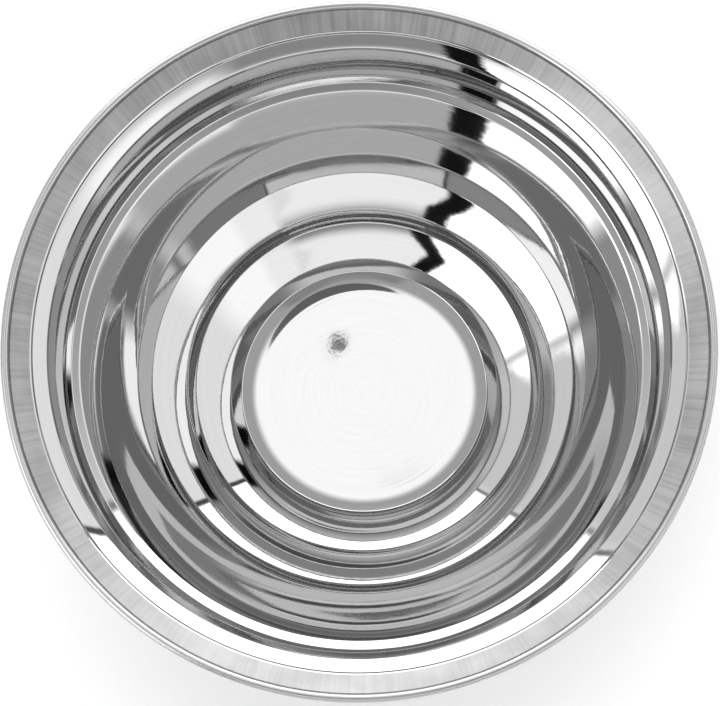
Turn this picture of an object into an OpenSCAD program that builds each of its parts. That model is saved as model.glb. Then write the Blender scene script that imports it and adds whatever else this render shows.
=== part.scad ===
/* [Overall] */
// Outer diameter over the rolled edge
rim_d = 320; // [310:1:360]
// Height from the standing face to the top of the rolled edge
basin_h = 123; // [119:0.5:140]
// Thickness of the steel sheet
sheet_t = 0.6; // [0.5:0.05:0.8]

/* [Rolled edge] */
// Diameter of the wire hoop inside the rolled edge
wire_d = 2.6; // [2:0.1:3]
// Gap between the wire and the sheet rolled round it
wire_gap = 0.05; // [0.02:0.01:0.1]
// How far the sheet wraps round the wire, in degrees
curl_wrap = 285; // [200:5:290]
// Rise of the rolled edge where it leaves the flange, in degrees
curl_lift = 98; // [80:1:105]
// Radius of the crease between flange and rolled edge
crease_r = 0.8; // [0.5:0.1:1]

/* [Flange] */
// Width of the flange from the crease to the shoulder
flange_w = 8.4; // [7:0.1:10]
// Slope of the flange down towards the bowl, in degrees
flange_slope = 28; // [22:1:32]

/* [Shoulder] */
// Width of the fine step between the flange and the shoulder
lip_w = 0.6; // [0.5:0.1:0.8]
// Depth of the fine step between the flange and the shoulder
lip_drop = 0.9; // [0.8:0.1:1.1]
// Width of the polished shoulder inside the flange
shoulder_w = 5.8; // [5.5:0.1:6.3]
// Depth of the polished shoulder
shoulder_drop = 3.2; // [3:0.1:3.8]
// Change of slope across the shoulder, in degrees
shoulder_crown = 5; // [3:1:8]
// Width of the small step below the shoulder
step_w = 0.7; // [0.6:0.1:0.9]
// Depth of the small step below the shoulder
step_drop = 1; // [0.9:0.1:1.3]
// Width of the band below the small step
band_w = 2.4; // [2.2:0.1:3]
// Depth of the band below the small step
band_drop = 2.5; // [2.3:0.1:3]

/* [Riser and ledge] */
// Width of the riser below the band
riser_w = 0.9; // [0.7:0.1:1.2]
// Depth of the riser below the band
riser_drop = 23.4; // [22:0.1:25]
// Width of the sloping foot of the riser
foot_w = 2.1; // [1.9:0.1:2.8]
// Depth of the sloping foot of the riser
foot_drop = 2.9; // [2.6:0.1:3.2]
// Width of the ledge above the main wall
ledge_w = 3.6; // [3:0.1:4.4]
// Depth of the ledge above the main wall
ledge_drop = 1.3; // [1:0.1:1.8]

/* [Main wall] */
// How much steeper the wall is at its middle than at its ends, in degrees
wall_sway = 6.5; // [5:0.5:9]
// Height of the riser between the wall and the upper terrace
wall_riser_h = 13; // [12:0.1:14]
// Width of the riser between the wall and the upper terrace
wall_riser_w = 5.2; // [4:0.1:6]

/* [Terraces] */
// Diameter of the upper terrace where the wall riser meets it
upper_terrace_d = 203.8; // [200:0.1:208]
// Depth of the upper terrace from the wall to its riser
upper_terrace_drop = 12; // [11:0.1:13]
// Change of slope across the upper terrace, in degrees
upper_terrace_crown = 9; // [4:1:12]
// Diameter of the lower terrace where the upper riser meets it
lower_terrace_d = 166.4; // [164:0.1:168]
// Depth of the lower terrace from one riser to the next
lower_terrace_drop = 10.3; // [9.5:0.1:11]
// Change of slope across the lower terrace, in degrees
lower_terrace_crown = 10; // [6:1:12]
// Height of the riser below the upper terrace
upper_terrace_riser_h = 11.5; // [10:0.1:12]
// Width of the riser below the upper terrace
upper_terrace_riser_w = 2.8; // [2.2:0.1:3.4]
// Height of the riser below the lower terrace
lower_terrace_riser_h = 6.3; // [5.8:0.1:7]
// Width of the riser below the lower terrace
lower_terrace_riser_w = 5; // [4:0.1:5.5]

/* [Disc] */
// Diameter of the centre disc at its raised edge
disc_d = 123.5; // [120:0.1:126]
// Diameter of the flat standing face under the disc
flat_d = 100; // [94:1:106]
// Slope of the disc where its edge turns up, in degrees
disc_edge_slope = 12; // [10:1:16]

/* [Hidden] */
$fn = 96;

// Radii of the pressed corners, on the inside face: noses bulge into the
// bowl, grooves are hollow
groove_r = 1.3;
lip_r = 0.7;
nose_r = 2.6;
wide_nose_r = 3.6;
small_nose_r = 1.4;
// Largest turn of one of the short straights that make up a rounded corner,
// in degrees, and the least number of them
arc_step = 6;
arc_steps_min = 3;
// Share of a crowned stretch that is a true arc, so its ends can still be rounded
crown_share = 0.7;
steel = [0.78, 0.79, 0.80];
wire_steel = [0.62, 0.63, 0.65];

rim_r = rim_d / 2;
curl_r = wire_d / 2 + wire_gap + sheet_t;
curl_centre = [rim_r - curl_r, basin_h - curl_r];

// Plane geometry, as [radius, height] points
function polar(r, a) = [r * cos(a), r * sin(a)];
function unit(v) = v / norm(v);
function side(v) = [-v.y, v.x];
function arc(centre, r, from, turn) =
    let (steps = max(arc_steps_min, ceil(abs(turn) / arc_step)))
    [for (i = [0 : steps]) centre + polar(r, from + turn * i / steps)];

// Arc that rounds the corner b between a and c
function rounded_corner(a, b, c, r) =
    let (
        u = unit(a - b),
        w = unit(c - b),
        half = acos(u * w) / 2,
        centre = b + unit(u + w) * r / sin(half),
        start = b + u * r / tan(half) - centre,
        bend = (u.x * w.y - u.y * w.x) > 0 ? -1 : 1
    )
    arc(centre, r, atan2(start.y, start.x), bend * (180 - 2 * half));

// Path through corners given as [radius, height, rounding]
function rounded_path(corners) =
    let (last = len(corners) - 1, at = [for (c = corners) [c.x, c.y]])
    [
        at[0],
        for (i = [1 : last - 1])
            each rounded_corner(at[i - 1], at[i], at[i + 1], corners[i].z),
        at[last]
    ];

// Corner that gives the stretch from a to b a bulge of crown degrees
function crown_corner(a, b, crown) =
    let (span = norm(b - a), peak = (a + b) / 2 + side(unit(b - a)) * span / 2 * tan(crown / 2))
    [peak.x, peak.y, crown_share * span / 2 / sin(crown / 2)];

function corner(p, r) = [p.x, p.y, r];

// Two wide corners that give the straight from a to b an S shape, sway
// degrees steeper in its middle than at its ends
function sway_corners(a, b, sway) =
    let (
        quarter = (b - a) / 4,
        shift = side(quarter) * tan(sway / 2),
        r = crown_share * norm(quarter) / tan(sway / 2)
    )
    [corner(a + quarter - shift, r), corner(b - quarter + shift, r)];

// Path moved sideways by the sheet's thickness
function offset_path(path, t) =
    let (last = len(path) - 1, dirs = [for (i = [0 : last - 1]) unit(path[i + 1] - path[i])])
    [
        for (i = [0 : last])
            let (n1 = side(dirs[max(i - 1, 0)]), n2 = side(dirs[min(i, last - 1)]))
            path[i] - t * (n1 + n2) / (1 + n1 * n2)
    ];

// Outer edge: the flange runs into the crease, then the sheet rolls over the wire
crease_centre = curl_centre + polar(curl_r + crease_r, 90 + curl_lift);
crease = arc(crease_centre, crease_r, 270 + flange_slope, curl_lift - flange_slope);
curl = arc(curl_centre, curl_r, 90 + curl_lift, -curl_wrap);

// Rings from the flange inwards, each found from the one above it
flange_in = crease[0] - flange_w * [1, tan(flange_slope)];
lip_in = flange_in - [lip_w, lip_drop];
shoulder_in = lip_in - [shoulder_w, shoulder_drop];
step_in = shoulder_in - [step_w, step_drop];
band_in = step_in - [band_w, band_drop];
riser_in = band_in - [riser_w, riser_drop];
ledge_out = riser_in - [foot_w, foot_drop];
ledge_in = ledge_out - [ledge_w, ledge_drop];

// Rings from the disc outwards, each found from the one below it
disc_turn_w = crown_share * (disc_d - flat_d) / 4;
disc_turn = [flat_d / 2 + disc_turn_w, sheet_t];
disc_edge = [disc_d / 2, sheet_t + (disc_d / 2 - disc_turn.x) * tan(disc_edge_slope)];
lower_nose = disc_edge + [lower_terrace_riser_w, lower_terrace_riser_h];
lower_terrace_out = [lower_terrace_d / 2, lower_nose.y + lower_terrace_drop];
upper_nose = lower_terrace_out + [upper_terrace_riser_w, upper_terrace_riser_h];
upper_terrace_out = [upper_terrace_d / 2, upper_nose.y + upper_terrace_drop];
wall_nose = upper_terrace_out + [wall_riser_w, wall_riser_h];

// Inside face from the centre of the disc to the crease. The main wall runs
// from its nose up to the ledge.
inside_corners = [
    [0, sheet_t, 0],
    corner(disc_turn, disc_turn_w / tan(disc_edge_slope / 2)),
    corner(disc_edge, groove_r),
    corner(lower_nose, nose_r),
    crown_corner(lower_nose, lower_terrace_out, lower_terrace_crown),
    corner(lower_terrace_out, groove_r),
    corner(upper_nose, wide_nose_r),
    crown_corner(upper_nose, upper_terrace_out, upper_terrace_crown),
    corner(upper_terrace_out, groove_r),
    corner(wall_nose, wide_nose_r),
    each sway_corners(wall_nose, ledge_in, wall_sway),
    corner(ledge_in, nose_r),
    corner(ledge_out, groove_r),
    corner(riser_in, groove_r),
    corner(band_in, small_nose_r),
    corner(step_in, small_nose_r),
    corner(shoulder_in, small_nose_r),
    crown_corner(shoulder_in, lip_in, shoulder_crown),
    corner(lip_in, lip_r),
    corner(flange_in, small_nose_r),
    corner(crease[0], 0)
];

function without_last(list) = [for (i = [0 : len(list) - 2]) list[i]];

inside_face = concat(without_last(rounded_path(inside_corners)), without_last(crease), curl);
outside_face = offset_path(inside_face, sheet_t);
last_point = len(outside_face) - 1;
section = concat(inside_face, [for (i = [0 : last_point]) outside_face[last_point - i]]);

// One pressed sheet: disc, terraces, wall, steps, flange and rolled edge
module bowl_shell() {
    color(steel)
        rotate_extrude($fn = 180)
            polygon(section);
}

// Hoop of round wire that stiffens the rolled edge
module rim_wire() {
    color(wire_steel)
        rotate_extrude($fn = 180)
            translate(curl_centre)
                circle(d = wire_d);
}

bowl_shell();
rim_wire();
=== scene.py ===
import math

import bpy
import numpy as np
from mathutils import Matrix, Vector


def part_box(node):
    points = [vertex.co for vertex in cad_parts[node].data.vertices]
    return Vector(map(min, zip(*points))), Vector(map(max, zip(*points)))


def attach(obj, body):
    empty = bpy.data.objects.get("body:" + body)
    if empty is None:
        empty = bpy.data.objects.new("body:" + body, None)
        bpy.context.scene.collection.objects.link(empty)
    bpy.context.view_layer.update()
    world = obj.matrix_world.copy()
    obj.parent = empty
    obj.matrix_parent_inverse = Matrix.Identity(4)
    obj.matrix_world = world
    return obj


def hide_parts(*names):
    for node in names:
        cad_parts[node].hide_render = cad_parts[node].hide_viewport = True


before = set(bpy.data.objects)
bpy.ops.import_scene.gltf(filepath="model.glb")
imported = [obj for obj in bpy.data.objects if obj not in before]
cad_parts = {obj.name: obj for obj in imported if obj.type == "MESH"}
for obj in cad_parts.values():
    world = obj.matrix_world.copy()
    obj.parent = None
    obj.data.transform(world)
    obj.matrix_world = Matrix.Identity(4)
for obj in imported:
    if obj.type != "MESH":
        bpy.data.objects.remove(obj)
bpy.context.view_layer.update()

# Lengths are in metres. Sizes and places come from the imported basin.
MM = 0.001
SHELL_LOW, SHELL_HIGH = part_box("bowl_shell")
WIRE_LOW, WIRE_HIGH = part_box("rim_wire")
RIM_R = (SHELL_HIGH.x - SHELL_LOW.x) / 2
RIM_Z = (WIRE_LOW.z + WIRE_HIGH.z) / 2

# How finely the sheet is turned, round the basin and along its section
TURNS = 480
LONGEST_STEP = RIM_R / 50
# Packed points are first rounded to this many decimals of a metre, then points
# closer together than SAME_RING count as one ring
ROUNDED_TO = 5
SAME_RING = 0.02 * MM
# The whole flange is outside this radius
NEAR_RIM = 0.9 * RIM_R


# ---------------------------------------------------------------- meshes


def add_object(name, data):
    """A new object in the scene that shows this mesh or camera."""
    piece = bpy.data.objects.new(name, data)
    bpy.context.scene.collection.objects.link(piece)
    return piece


def turned_section(node_name):
    """Ordered (radius, height) points of a turned node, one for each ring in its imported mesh."""
    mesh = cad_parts[node_name].data
    points = np.empty(len(mesh.vertices) * 3)
    mesh.vertices.foreach_get("co", points)
    points = points.reshape(-1, 3)
    section = np.column_stack((np.hypot(points[:, 0], points[:, 1]), points[:, 2]))
    spots, spot_of = np.unique(np.round(section, ROUNDED_TO), axis=0, return_inverse=True)
    gaps = np.linalg.norm(spots[:, None] - spots[None], axis=2)
    ring_of = (gaps < SAME_RING).argmax(axis=1)[spot_of.ravel()]

    ends = np.empty(len(mesh.edges) * 2, np.int64)
    mesh.edges.foreach_get("vertices", ends)
    beside = {}
    for a, b in np.unique(np.sort(ring_of[ends.reshape(-1, 2)], axis=1), axis=0):
        if a != b:
            beside.setdefault(a, []).append(b)
            beside.setdefault(b, []).append(a)

    # The path runs from the upper of its two open ends to the lower one
    single = [ring for ring, near in beside.items() if len(near) == 1]
    here = max(single, key=lambda ring: spots[ring][1])
    path, last = [here], None
    while True:
        onward = [ring for ring in beside[here] if ring != last]
        if not onward:
            break
        last, here = here, onward[0]
        path.append(here)
    return np.array([section[ring_of == ring].mean(axis=0) for ring in path])


def section_normals(section):
    """Unit normals at the section's points, where a long straight outweighs a short one."""
    closed = np.vstack(([0, section[0, 1]], section, [0, section[-1, 1]]))
    steps = np.diff(closed, axis=0)
    weighted = np.column_stack((-steps[:, 1], steps[:, 0])) * np.linalg.norm(steps, axis=1)[:, None]
    normals = weighted[:-1] + weighted[1:]
    return normals / np.linalg.norm(normals, axis=1)[:, None]


def with_short_steps(section, normals):
    """The same section with points added on its long straights."""
    points, turned = [section[0]], [normals[0]]
    for i in range(1, len(section)):
        pieces = max(1, math.ceil(np.linalg.norm(section[i] - section[i - 1]) / LONGEST_STEP))
        for k in range(1, pieces + 1):
            share = k / pieces
            points.append(section[i - 1] + (section[i] - section[i - 1]) * share)
            turned.append(normals[i - 1] + (normals[i] - normals[i - 1]) * share)
    return np.array(points), np.array(turned)


def turned_points(section, across):
    """A section's (radius, height) pairs repeated round the axis, as x, y and z."""
    points = np.empty((len(section), TURNS, 3))
    points[:, :, :2] = section[:, 0, None, None] * across
    points[:, :, 2] = section[:, 1, None]
    return points.reshape(-1, 3)


def revolve(name, section, normals):
    """A closed mesh turned from a section whose two ends lie on flat discs round the axis."""
    count = len(section)
    angles = np.arange(TURNS) * 2 * math.pi / TURNS
    across = np.column_stack((np.cos(angles), np.sin(angles)))
    centres = [(0, 0, section[0, 1]), (0, 0, section[-1, 1])]
    vertices = np.vstack((turned_points(section, across), centres))
    vertex_normals = np.vstack((turned_points(normals, across), [(0, 0, 1), (0, 0, -1)]))

    faces = []
    for i in range(count - 1):
        for j in range(TURNS):
            k = (j + 1) % TURNS
            faces.append((i * TURNS + j, (i + 1) * TURNS + j, (i + 1) * TURNS + k, i * TURNS + k))
    last = (count - 1) * TURNS
    top_centre = count * TURNS
    under_centre = top_centre + 1
    for j in range(TURNS):
        k = (j + 1) % TURNS
        faces.append((top_centre, j, k))
        faces.append((under_centre, last + k, last + j))

    mesh = bpy.data.meshes.new(name)
    mesh.from_pydata(vertices.tolist(), [], faces)
    mesh.shade_smooth()
    mesh.normals_split_custom_set_from_vertices(vertex_normals.tolist())
    return add_object(name, mesh)


def store(piece, name, at_rings, at_centres):
    """Keeps a number at each vertex: one for each ring, then one for each of the two centres."""
    values = np.concatenate((np.repeat(at_rings, TURNS), at_centres))
    layer = piece.data.attributes.new(name, "FLOAT", "POINT")
    layer.data.foreach_set("value", values.astype(np.float32))


def store_along(piece, section):
    """Keeps, at each vertex, how far along the section it is, for the polishing lines."""
    travelled = np.concatenate(([0], np.cumsum(np.linalg.norm(np.diff(section, axis=0), axis=1))))
    store(piece, "along", travelled + section[0, 0], (0, 0))


def store_outside(piece, section):
    """Marks the outside of the basin, which starts at the widest point of the rolled edge."""
    widest = section[:, 0].argmax()
    store(piece, "outside", (np.arange(len(section)) > widest).astype(float), (0, 1))


def flange_radii(section):
    """Inner and outer radius of the flange: the longest straight near the rim."""
    starts, ends = section[:-1], section[1:]
    lengths = np.linalg.norm(ends - starts, axis=1)
    lengths[(starts[:, 0] < NEAR_RIM) | (ends[:, 0] < NEAR_RIM)] = 0
    longest = lengths.argmax()
    return sorted((starts[longest, 0], ends[longest, 0]))


# ---------------------------------------------------------------- node helper


class Nodes:
    """Adds shader nodes in short calls. An input is a number, a colour or another node's socket."""

    def __init__(self, tree):
        self.tree = tree
        tree.nodes.clear()

    def add(self, kind, inputs=None, **settings):
        node = self.tree.nodes.new("ShaderNode" + kind)
        for key, value in settings.items():
            setattr(node, key, value)
        for key, value in (inputs or {}).items():
            if isinstance(value, bpy.types.NodeSocket):
                self.tree.links.new(value, node.inputs[key])
            else:
                node.inputs[key].default_value = value
        return node

    def math(self, operation, a, b=0.0):
        return self.add("Math", {0: a, 1: b}, operation=operation).outputs[0]

    def vector(self, operation, a, b=(0, 0, 0)):
        return self.add("VectorMath", {0: a, 1: b}, operation=operation).outputs[0]

    def measure(self, operation, a, b=(0, 0, 0)):
        """A vector operation whose result is a number, such as LENGTH."""
        return self.add("VectorMath", {0: a, 1: b}, operation=operation).outputs["Value"]

    def ramp(self, value, low, high, to_low=0.0, to_high=1.0):
        """Smooth change of value from to_low at low to to_high at high."""
        inputs = {"Value": value, "From Min": low, "From Max": high, "To Min": to_low, "To Max": to_high}
        return self.add("MapRange", inputs, interpolation_type="SMOOTHSTEP").outputs["Result"]

    def noise(self, place, scale, detail, rough):
        inputs = {"Vector": place, "Scale": scale, "Detail": detail, "Roughness": rough}
        return self.add("TexNoise", inputs).outputs["Fac"]

    def mix(self, share, a, b):
        """Blend of two numbers."""
        return self.add("Mix", {"Factor": share, "A": a, "B": b}, data_type="FLOAT").outputs["Result"]

    def grey(self, value):
        return self.add("CombineColor", {"Red": value, "Green": value, "Blue": value}).outputs[0]

    def attribute(self, name):
        return self.add("Attribute", attribute_name=name).outputs["Fac"]


def new_material(name):
    material = bpy.data.materials.new(name)
    material.use_nodes = True
    return material, Nodes(material.node_tree)


def polar_place(nodes, along, turn_scale, along_scale):
    """Texture place on a circle of radius turn_scale round the basin, along_scale units a metre down it."""
    position = nodes.add("TexCoord").outputs["Object"]
    outward = nodes.vector("NORMALIZE", nodes.vector("MULTIPLY", position, (1, 1, 0)))
    split = nodes.add("SeparateXYZ", {0: outward})
    x = nodes.math("MULTIPLY", split.outputs["X"], turn_scale)
    y = nodes.math("MULTIPLY", split.outputs["Y"], turn_scale)
    z = nodes.math("MULTIPLY", along, along_scale)
    return nodes.add("CombineXYZ", {"X": x, "Y": y, "Z": z}).outputs[0]


# ---------------------------------------------------------------- materials

# Shade of each finish, from its darkest marks to its lightest
STEEL_REFLECTANCE = 0.55
POLISHED_SHADES = (STEEL_REFLECTANCE - 0.01, STEEL_REFLECTANCE + 0.01)
SATIN_SHADES = (0.28, 0.38)
SATIN_UNEVENNESS = (0.9, 1.1)
BEAD_SHADE = 0.5
OUTSIDE_SHADES = (0.38, 0.43)
WIRE_SHADES = (0.40, 0.52)

# Roughness of each finish, from its smoothest spots to its roughest
POLISHED_ROUGH = (0.02, 0.06)
SATIN_ROUGH = (0.36, 0.46)
BEAD_ROUGH = (0.24, 0.32)
OUTSIDE_ROUGH = (0.14, 0.24)
WIRE_ROUGH = (0.28, 0.42)

# Heights of the marks in the surface
RIPPLE_HEIGHT = 0.03 * MM
LONG_LINE_HEIGHT = 0.007 * MM
LINE_HEIGHT = 0.0002 * MM
DRAW_MARK_HEIGHT = 0.008 * MM
WIRE_LINE_HEIGHT = 0.02 * MM

# Stretches of a noise's value that are spread over a whole pair of shades or roughnesses
MIDDLE = (0.3, 0.7)
WIDE_MIDDLE = (0.25, 0.75)
SMEAR_MIDDLE = (0.35, 0.75)

# How softly one finish runs into the next
FINISH_EDGE = 0.1 * MM
BEAD_EDGE = 0.3 * MM


def metal_surface(nodes, shade, rough, height, distance):
    """Finishes a metal material from its shade, its roughness and the height of its marks."""
    bump = nodes.add("Bump", {"Height": height, "Distance": distance, "Strength": 1.0})
    surface = nodes.add("BsdfPrincipled", {
        "Base Color": nodes.grey(shade), "Metallic": 1.0, "Roughness": rough, "Normal": bump.outputs[0]})
    nodes.add("OutputMaterial", {"Surface": surface.outputs[0]})


def bowl_material(flange_in, flange_out):
    """Mirror-polished inside, satin flange with radial draw marks, half-polished bead, brushed outside."""
    material, nodes = new_material("polished_steel")
    position = nodes.add("TexCoord").outputs["Object"]
    along = nodes.attribute("along")
    outside = nodes.attribute("outside")
    radius = nodes.measure("LENGTH", nodes.vector("MULTIPLY", position, (1, 1, 0)))
    inside = nodes.math("SUBTRACT", 1.0, outside)
    past_shoulder = nodes.ramp(radius, flange_in - FINISH_EDGE, flange_in + FINISH_EDGE)
    past_flange = nodes.ramp(radius, flange_out - FINISH_EDGE, flange_out + BEAD_EDGE)
    on_bead = nodes.math("MULTIPLY", past_flange, inside)
    on_flange = nodes.math("MULTIPLY", nodes.math("SUBTRACT", past_shoulder, past_flange), inside)

    # Polishing lines run round the basin, draw marks run across the flange
    fine = polar_place(nodes, along, turn_scale=1.5, along_scale=900.0)
    lines = nodes.noise(fine, scale=1.0, detail=3.0, rough=0.6)
    coarse = polar_place(nodes, along, turn_scale=3.0, along_scale=160.0)
    long_lines = nodes.noise(coarse, scale=1.0, detail=4.0, rough=0.6)
    radial = polar_place(nodes, along, turn_scale=90.0, along_scale=12.0)
    draw_marks = nodes.noise(radial, scale=1.0, detail=4.0, rough=0.65)
    broad = polar_place(nodes, along, turn_scale=5.0, along_scale=60.0)
    unevenness = nodes.noise(broad, scale=1.0, detail=3.0, rough=0.5)
    ripples = nodes.noise(position, scale=28.0, detail=2.0, rough=0.5)
    smears = nodes.noise(position, scale=14.0, detail=5.0, rough=0.6)

    polished_rough = nodes.ramp(smears, *SMEAR_MIDDLE, *POLISHED_ROUGH)
    satin_rough = nodes.ramp(draw_marks, *MIDDLE, *SATIN_ROUGH)
    bead_rough = nodes.ramp(smears, *SMEAR_MIDDLE, *BEAD_ROUGH)
    outside_rough = nodes.ramp(long_lines, *MIDDLE, *OUTSIDE_ROUGH)
    rough = nodes.mix(on_flange, polished_rough, satin_rough)
    rough = nodes.mix(on_bead, rough, bead_rough)
    rough = nodes.mix(outside, rough, outside_rough)

    polished_shade = nodes.ramp(lines, *MIDDLE, *POLISHED_SHADES)
    satin_shade = nodes.ramp(draw_marks, *WIDE_MIDDLE, *SATIN_SHADES)
    satin_shade = nodes.math("MULTIPLY", satin_shade, nodes.ramp(unevenness, *MIDDLE, *SATIN_UNEVENNESS))
    shade = nodes.mix(on_flange, polished_shade, satin_shade)
    shade = nodes.mix(on_bead, shade, BEAD_SHADE)
    shade = nodes.mix(outside, shade, nodes.ramp(long_lines, *MIDDLE, *OUTSIDE_SHADES))

    height = nodes.math("MULTIPLY", ripples, RIPPLE_HEIGHT)
    height = nodes.math("ADD", height, nodes.math("MULTIPLY", long_lines, LONG_LINE_HEIGHT))
    height = nodes.math("ADD", height, nodes.math("MULTIPLY", lines, LINE_HEIGHT))
    marks = nodes.math("MULTIPLY", nodes.math("MULTIPLY", draw_marks, DRAW_MARK_HEIGHT), on_flange)
    height = nodes.math("ADD", height, marks)
    metal_surface(nodes, shade, rough, height, distance=1.0)
    return material


def wire_material():
    """Drawn steel wire: fine lines round the hoop and a dull tone."""
    material, nodes = new_material("wire_steel")
    position = nodes.add("TexCoord").outputs["Object"]
    stretched = nodes.vector("MULTIPLY", position, (20, 20, 4000))
    lines = nodes.noise(stretched, scale=1.0, detail=3.0, rough=0.6)
    shade = nodes.ramp(lines, *MIDDLE, *WIRE_SHADES)
    rough = nodes.ramp(lines, *MIDDLE, *WIRE_ROUGH)
    metal_surface(nodes, shade, rough, lines, distance=WIRE_LINE_HEIGHT)
    return material


# ---------------------------------------------------------------- studio

# Brightness of the sheets that hang round the basin, and of the dimmer skirts below them
WHITE_SHEET = 2.8
FRONT_SHEET = 1.5
SIDE_SHEET = 1.3
RIGHT_SHEET = 1.7
BACK_SHEET = 1.0
SHEET_EDGE = 0.95
FRONT_SKIRT = 0.68
SIDE_SKIRT = 0.45
# Brightness of the overhead sheet and of what is in it
OVERHEAD = 0.6
LAMP = 1.7
OVERHEAD_FRONT = 0.4
OVERHEAD_HEM = 0.42
HOOD = 0.2
FIXING = 0.25
# Brightness of the seams, the gap between two sheets and the dark lines under them
RIGHT_SEAM = 0.1
LEFT_SEAM = 0.3
GAP = 0.01
FRONT_SLIT = 0.05
GROUND_LINE = 0.12
# Brightness of the backdrop, which only the camera sees
BACKDROP = 0.97

# Widest swing of the gap between two sheets, and how far the folds shift it, in degrees
SEAM_SWING = 9
SEAM_WANDER = 4

DEGREES_PER_RADIAN = 180 / math.pi
HORIZON = 90


def sky_direction(azimuth, zenith):
    """Unit vector at this azimuth, from +X towards +Y, and this angle from straight up, in degrees."""
    turn, lean = math.radians(azimuth), math.radians(zenith)
    return (math.cos(turn) * math.sin(lean), math.sin(turn) * math.sin(lean), math.cos(lean))


class Tent:
    """The tent's light by direction. Each call paints over what is there. All angles are in degrees."""

    def __init__(self, nodes):
        self.nodes = nodes
        self.direction = nodes.vector("NORMALIZE", nodes.add("TexCoord").outputs["Generated"])
        upward = nodes.add("SeparateXYZ", {0: self.direction}).outputs["Z"]
        self.zenith = nodes.math("MULTIPLY", nodes.math("ARCCOSINE", upward), DEGREES_PER_RADIAN)
        self.ground = nodes.vector("NORMALIZE", nodes.vector("MULTIPLY", self.direction, (1, 1, 0)))
        self.bent_ground = self.bent()
        self.light = SIDE_SHEET

    def bent(self):
        """The direction on the ground, swung so that a sheet's edge bends and hangs in soft folds."""
        nodes = self.nodes
        folds = nodes.noise(self.direction, scale=40.0, detail=4.0, rough=0.6)
        rise = nodes.ramp(self.zenith, 40, 51)
        fall = nodes.ramp(self.zenith, 51, 64, 1.0, 0.2)
        swing = nodes.math("MULTIPLY", nodes.math("MULTIPLY", rise, fall), math.radians(SEAM_SWING))
        wander = nodes.math("MULTIPLY", nodes.math("SUBTRACT", folds, 0.5), math.radians(SEAM_WANDER))
        bend = nodes.math("ADD", swing, wander)
        turned = nodes.add("VectorRotate", {"Vector": self.ground, "Angle": bend}, rotation_type="Z_AXIS")
        return turned.outputs[0]

    def paint(self, brightness, share):
        self.light = self.nodes.mix(share, self.light, brightness)

    def band(self, low, high, edge):
        """1 between two zenith angles, 0 outside, soft over edge on both sides."""
        above = self.nodes.ramp(self.zenith, low - edge, low + edge)
        under = self.nodes.ramp(self.zenith, high - edge, high + edge, 1.0, 0.0)
        return self.nodes.math("MULTIPLY", above, under)

    def sheet(self, brightness, around, edge=1.0, heights=None, height_edge=2.0, folded=False):
        """Paints between two azimuths, and between two zenith angles if heights is given."""
        centre, half = sum(around) / 2, (around[1] - around[0]) / 2
        along = self.bent_ground if folded else self.ground
        facing = self.nodes.measure("DOT_PRODUCT", along, sky_direction(centre, HORIZON))
        apart = self.nodes.math("MULTIPLY", self.nodes.math("ARCCOSINE", facing), DEGREES_PER_RADIAN)
        share = self.nodes.ramp(apart, half - edge, half + edge, 1.0, 0.0)
        if heights:
            share = self.nodes.math("MULTIPLY", share, self.band(heights[0], heights[1], height_edge))
        self.paint(brightness, share)

    def spot(self, brightness, azimuth, zenith, inner, outer):
        """Paints a round spot, whole up to inner and gone at outer. Both are lengths on the unit sphere."""
        away = self.nodes.measure("DISTANCE", self.direction, sky_direction(azimuth, zenith))
        self.paint(brightness, self.nodes.ramp(away, inner, outer, 1.0, 0.0))


def hang_sheets(tent):
    """Sheets and skirts round the basin. The camera leans towards azimuth 278."""
    tent.sheet(RIGHT_SHEET, around=(312, 345), edge=8.0)
    tent.sheet(WHITE_SHEET, around=(50, 129))
    tent.sheet(BACK_SHEET, around=(130, 176), edge=2.0)
    tent.sheet(RIGHT_SEAM, around=(49.2, 50.8), edge=0.4)
    tent.sheet(LEFT_SEAM, around=(128.4, 129.6), edge=0.4)
    tent.sheet(WHITE_SHEET, around=(177, 245), edge=4.0, folded=True)
    tent.sheet(SHEET_EDGE, around=(175, 179), edge=2.5)
    tent.sheet(FRONT_SHEET, around=(303, 318), edge=3.0)
    front = tent.nodes.ramp(tent.zenith, 60, 68, FRONT_SHEET, FRONT_SKIRT)
    tent.sheet(front, around=(243, 304), edge=3.0, folded=True)
    tent.sheet(FRONT_SKIRT, around=(296, 338), edge=6.0, heights=(68, 90))
    tent.sheet(SIDE_SKIRT, around=(338, 408), edge=6.0, heights=(72, 90))
    tent.sheet(SIDE_SKIRT, around=(130, 200), edge=6.0, heights=(72, 90))
    tent.sheet(SIDE_SKIRT, around=(200, 238), edge=4.0, heights=(79, 90), height_edge=1.0)


def hang_overhead(tent):
    """Dim sheet overhead with a lamp behind it, darker towards the front, and a dark hood near its middle."""
    tent.paint(OVERHEAD, tent.nodes.ramp(tent.zenith, 30, 42, 1.0, 0.0))
    tent.spot(LAMP, azimuth=97, zenith=13, inner=0.14, outer=0.30)
    tent.sheet(OVERHEAD_FRONT, around=(225, 345), edge=6.0, heights=(8, 21), height_edge=1.5)
    tent.sheet(OVERHEAD_HEM, around=(243, 303), edge=6.0, heights=(30, 42), height_edge=3.0)
    tent.spot(HOOD, azimuth=50, zenith=3.4, inner=0.098, outer=0.112)


def leave_gaps(tent):
    """Gap between two sheets, slit low in the front skirt, and dark line on the ground all round."""
    tent.sheet(GAP, around=(236.5, 246.5), edge=1.4, heights=(31, 88), folded=True)
    tent.sheet(FRONT_SLIT, around=(240, 302), edge=1.5, heights=(79.8, 82.5), height_edge=0.5)
    tent.paint(GROUND_LINE, tent.band(88, 92, edge=1.0))


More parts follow.
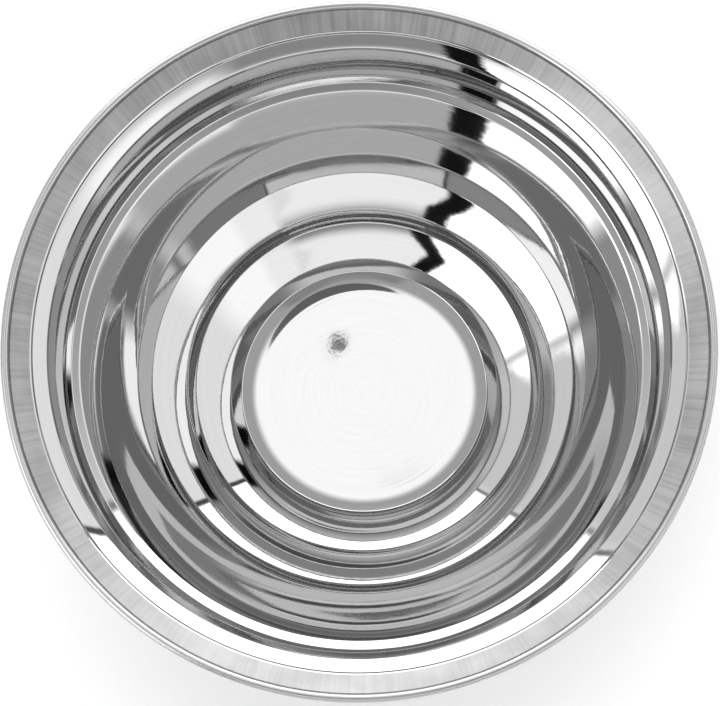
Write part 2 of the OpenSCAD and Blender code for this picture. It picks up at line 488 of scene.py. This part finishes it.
def studio_world():
    """Tent of pale sheets seen only in reflections. The camera itself sees a plain pale backdrop."""
    world = bpy.data.worlds.new("studio")
    bpy.context.scene.world = world
    world.use_nodes = True
    nodes = Nodes(world.node_tree)
    tent = Tent(nodes)
    hang_sheets(tent)
    hang_overhead(tent)
    leave_gaps(tent)
    # Small dark fixing in the overhead sheet
    tent.spot(FIXING, azimuth=100, zenith=12.6, inner=0.003, outer=0.006)
    tent.paint(BACKDROP, nodes.add("LightPath").outputs["Is Camera Ray"])
    background = nodes.add("Background", {"Color": nodes.grey(tent.light), "Strength": 1.0})
    nodes.add("OutputWorld", {"Surface": background.outputs[0]})


FLOOR_REACH = 30 * RIM_R
FLOOR_COLOUR = (0.95, 0.95, 0.95, 1)


def floor():
    """Plain pale floor under the basin."""
    mesh = bpy.data.meshes.new("floor")
    corners = [(x * FLOOR_REACH, y * FLOOR_REACH, 0) for x, y in ((-1, -1), (1, -1), (1, 1), (-1, 1))]
    mesh.from_pydata(corners, [], [(0, 1, 2, 3)])
    piece = add_object("floor", mesh)
    material, nodes = new_material("pale_floor")
    surface = nodes.add("BsdfDiffuse", {"Color": FLOOR_COLOUR})
    nodes.add("OutputMaterial", {"Surface": surface.outputs[0]})
    mesh.materials.append(material)


# Lens and sensor in millimetres, angles in degrees, distance and aim in rim radii
LENS = 98.7
SENSOR_WIDTH = 36
CAMERA_DISTANCE = 5.5
CAMERA_TILT = 12.68
CAMERA_TURN = 7.52
CAMERA_AIM = (0.007, -0.041, 0)
# Farthest that the camera sees, in metres
CAMERA_REACH = 100


def camera():
    """Camera almost straight above the basin, a little towards its near side."""
    data = bpy.data.cameras.new("camera")
    data.lens = LENS
    data.sensor_width = SENSOR_WIDTH
    data.clip_end = CAMERA_REACH
    rim_centre = Vector((0, 0, RIM_Z))
    tilt, turn = math.radians(CAMERA_TILT), math.radians(CAMERA_TURN)
    back = Vector((math.sin(turn) * math.sin(tilt), -math.cos(turn) * math.sin(tilt), math.cos(tilt)))
    place = rim_centre + CAMERA_DISTANCE * RIM_R * back
    aim = rim_centre + RIM_R * Vector(CAMERA_AIM)
    forward = (aim - place).normalized()
    right = (Vector((1, 0, 0)) - forward * forward.x).normalized()
    up = right.cross(forward)
    matrix = Matrix((right, up, -forward)).transposed().to_4x4()
    matrix.translation = place
    piece = add_object("camera", data)
    piece.matrix_world = matrix
    bpy.context.scene.camera = piece


# ---------------------------------------------------------------- build


def bowl():
    """The pressed sheet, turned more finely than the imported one, which it replaces."""
    section = turned_section("bowl_shell")
    flange_in, flange_out = flange_radii(section)
    fine, normals = with_short_steps(section, section_normals(section))
    piece = revolve("bowl_sheet", fine, normals)
    store_along(piece, fine)
    store_outside(piece, fine)
    piece.data.materials.append(bowl_material(flange_in, flange_out))
    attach(piece, "root")
    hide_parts("bowl_shell")


def wire():
    """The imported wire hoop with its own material."""
    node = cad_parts["rim_wire"]
    node.data.materials.clear()
    node.data.materials.append(wire_material())


bowl()
wire()
floor()
studio_world()
camera()
bpy.context.scene.view_settings.view_transform = "Standard"
